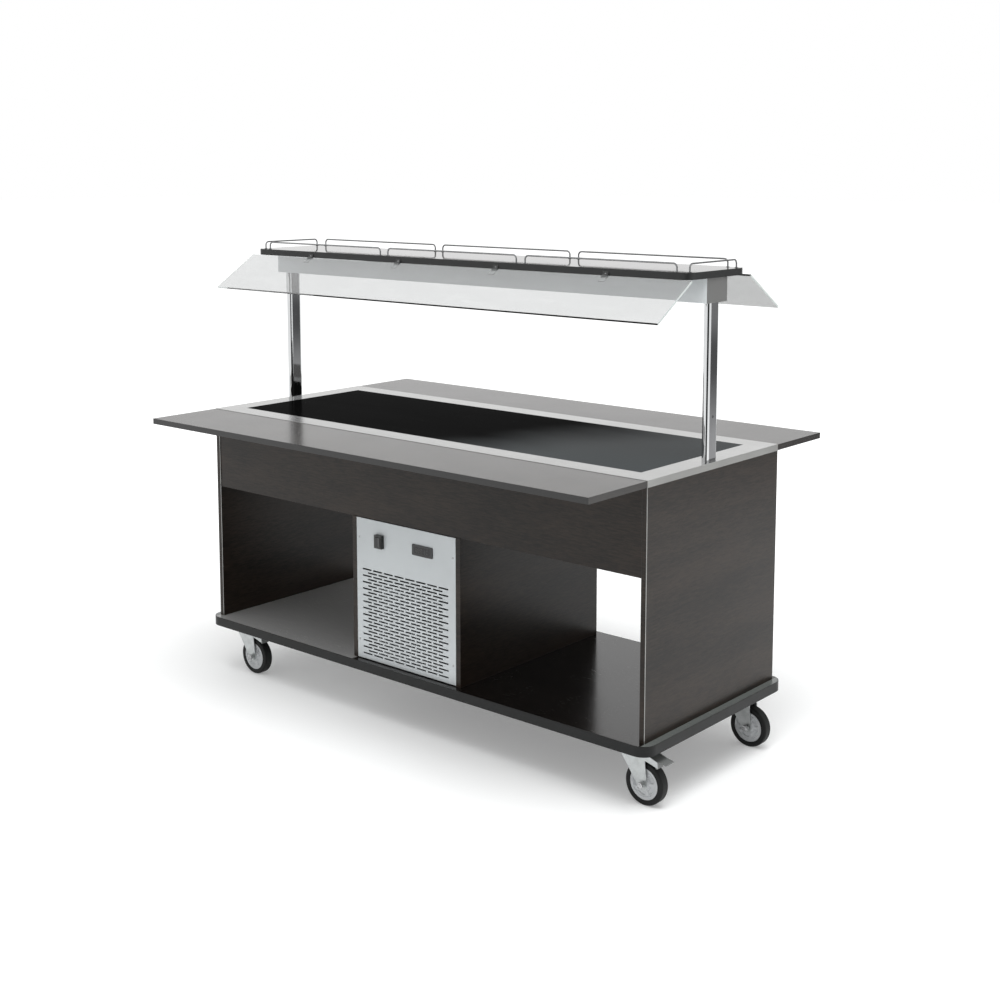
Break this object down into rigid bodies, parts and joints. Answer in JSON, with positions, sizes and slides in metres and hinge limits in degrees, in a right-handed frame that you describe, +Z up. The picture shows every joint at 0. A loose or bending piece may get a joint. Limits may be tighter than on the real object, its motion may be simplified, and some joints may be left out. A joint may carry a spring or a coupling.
{
  "type": "mobile salad bar",
  "caption": "Wheeled refrigerated buffet counter with folding side shelves, glass cold top, canopy with slanted guards, open storage bays and a slotted machine panel.",
  "frame": {"origin": "on the floor, midway between the casters, at the centre of the footprint", "axes": "+X along the counter to the right as seen from the grille side, -Y towards the grille side, +Z up"},
  "size_m": [1.866, 1.2, 1.496],
  "materials": {
    "carcass_laminate": "satin",
    "base_laminate": "satin",
    "base_edge": "satin",
    "grille_paint": "satin",
    "rim_steel": "polished",
    "black_glass": "gloss",
    "cold_aluminium": "satin",
    "copper": "satin",
    "foam": "matt",
    "zinc_sheet": "satin",
    "machine_black": "satin",
    "shroud_plastic": "matt",
    "switch_plastic": "gloss",
    "rocker_plastic": "gloss",
    "thermostat_plastic": "satin",
    "thermostat_face": "gloss",
    "column_chrome": "polished",
    "socket_steel": "satin",
    "lamp_aluminium": "satin",
    "opal": "matt",
    "canopy_laminate": "satin",
    "canopy_edge": "satin",
    "rail_chrome": "polished",
    "guard_glass": "gloss",
    "clip_steel": "satin",
    "hinge_zinc": "satin",
    "shelf_laminate": "satin",
    "caster_zinc": "satin",
    "wheel_plastic": "satin",
    "tyre_rubber": "matt",
    "pedal_paint": "satin"
  },
  "bodies": {
    "carcass": {"base_board": "base_laminate", "base_edging": "base_edge", "end_panel_left": "carcass_laminate", "end_panel_right": "carcass_laminate", "apron_front": "carcass_laminate", "apron_rear": "carcass_laminate", "divider_left": "carcass_laminate", "divider_right": "carcass_laminate", "bay_ceilings": "carcass_laminate", "front_grille": "grille_paint", "rear_grille": "grille_paint", "top_frame": "rim_steel", "glass_top": "black_glass", "cold_plate": "cold_aluminium", "evaporator_coil": "copper", "insulation": "foam", "under_pan": "zinc_sheet", "unit_base": "zinc_sheet", "compressor": "machine_black", "condenser_coil": "cold_aluminium", "fan_shroud": "shroud_plastic", "fan_motor": "machine_black", "refrigerant_pipes": "copper", "switch_housing": "switch_plastic", "thermostat_housing": "thermostat_plastic", "thermostat_window": "thermostat_face", "column_left": "column_chrome", "column_right": "column_chrome", "column_sockets": "socket_steel", "lamp_housing": "lamp_aluminium", "lamp_diffuser": "opal", "canopy_board": "canopy_laminate", "canopy_edging": "canopy_edge", "gallery_rails": "rail_chrome", "guard_glass_front": "guard_glass", "guard_glass_rear": "guard_glass", "guard_clips": "clip_steel", "hinge_plates": "hinge_zinc", "caster_plates": "caster_zinc"},
    "shelf_leaf_front": {"shelf_front": "shelf_laminate", "shelf_arms_front": "hinge_zinc"},
    "shelf_leaf_rear": {"shelf_rear": "shelf_laminate", "shelf_arms_rear": "hinge_zinc"},
    "fan": {"fan_blades": "shroud_plastic"},
    "rocker": {"switch_rocker": "rocker_plastic"},
    "fork_front_left": {"caster_fork_front_left": "caster_zinc"},
    "wheel_front_left": {"caster_wheel_front_left": "wheel_plastic", "caster_tyre_front_left": "tyre_rubber"},
    "pedal_front_left": {"brake_pedal_front_left": "pedal_paint"},
    "fork_front_right": {"caster_fork_front_right": "caster_zinc"},
    "wheel_front_right": {"caster_wheel_front_right": "wheel_plastic", "caster_tyre_front_right": "tyre_rubber"},
    "pedal_front_right": {"brake_pedal_front_right": "pedal_paint"},
    "fork_rear_left": {"caster_fork_rear_left": "caster_zinc"},
    "wheel_rear_left": {"caster_wheel_rear_left": "wheel_plastic", "caster_tyre_rear_left": "tyre_rubber"},
    "fork_rear_right": {"caster_fork_rear_right": "caster_zinc"},
    "wheel_rear_right": {"caster_wheel_rear_right": "wheel_plastic", "caster_tyre_rear_right": "tyre_rubber"}
  },
  "joints": [
    {"name": "shelf_front_fold", "type": "hinge", "parent": "carcass", "child": "shelf_leaf_front", "pos_m": [0, -0.347, 0.901], "axis": [1, 0, 0], "range_deg": [0, 90]},
    {"name": "shelf_rear_fold", "type": "hinge", "parent": "carcass", "child": "shelf_leaf_rear", "pos_m": [0, 0.347, 0.901], "axis": [-1, 0, 0], "range_deg": [0, 90]},
    {"name": "fan_spin", "type": "hinge", "parent": "carcass", "child": "fan", "pos_m": [0, -0.277, 0.327], "axis": [0, 1, 0], "continuous": true},
    {"name": "switch_rock", "type": "hinge", "parent": "carcass", "child": "rocker", "pos_m": [-0.1063, -0.342, 0.595], "axis": [0, 0, 1], "range_deg": [-20, 0]},
    {"name": "swivel_front_left", "type": "hinge", "parent": "carcass", "child": "fork_front_left", "pos_m": [-0.825, -0.275, 0.15], "axis": [0, 0, 1], "continuous": true},
    {"name": "roll_front_left", "type": "hinge", "parent": "fork_front_left", "child": "wheel_front_left", "pos_m": [-0.785, -0.275, 0.0625], "axis": [0, 1, 0], "continuous": true},
    {"name": "brake_front_left", "type": "hinge", "parent": "fork_front_left", "child": "pedal_front_left", "pos_m": [-0.747, -0.275, 0.13], "axis": [0, 1, 0], "range_deg": [0, 12]},
    {"name": "swivel_front_right", "type": "hinge", "parent": "carcass", "child": "fork_front_right", "pos_m": [0.825, -0.275, 0.15], "axis": [0, 0, 1], "continuous": true},
    {"name": "roll_front_right", "type": "hinge", "parent": "fork_front_right", "child": "wheel_front_right", "pos_m": [0.865, -0.275, 0.0625], "axis": [0, 1, 0], "continuous": true},
    {"name": "brake_front_right", "type": "hinge", "parent": "fork_front_right", "child": "pedal_front_right", "pos_m": [0.903, -0.275, 0.13], "axis": [0, 1, 0], "range_deg": [0, 12]},
    {"name": "swivel_rear_left", "type": "hinge", "parent": "carcass", "child": "fork_rear_left", "pos_m": [-0.825, 0.275, 0.15], "axis": [0, 0, 1], "continuous": true},
    {"name": "roll_rear_left", "type": "hinge", "parent": "fork_rear_left", "child": "wheel_rear_left", "pos_m": [-0.785, 0.275, 0.0625], "axis": [0, 1, 0], "continuous": true},
    {"name": "swivel_rear_right", "type": "hinge", "parent": "carcass", "child": "fork_rear_right", "pos_m": [0.825, 0.275, 0.15], "axis": [0, 0, 1], "continuous": true},
    {"name": "roll_rear_right", "type": "hinge", "parent": "fork_rear_right", "child": "wheel_rear_right", "pos_m": [0.865, 0.275, 0.0625], "axis": [0, 1, 0], "continuous": true}
  ]
}
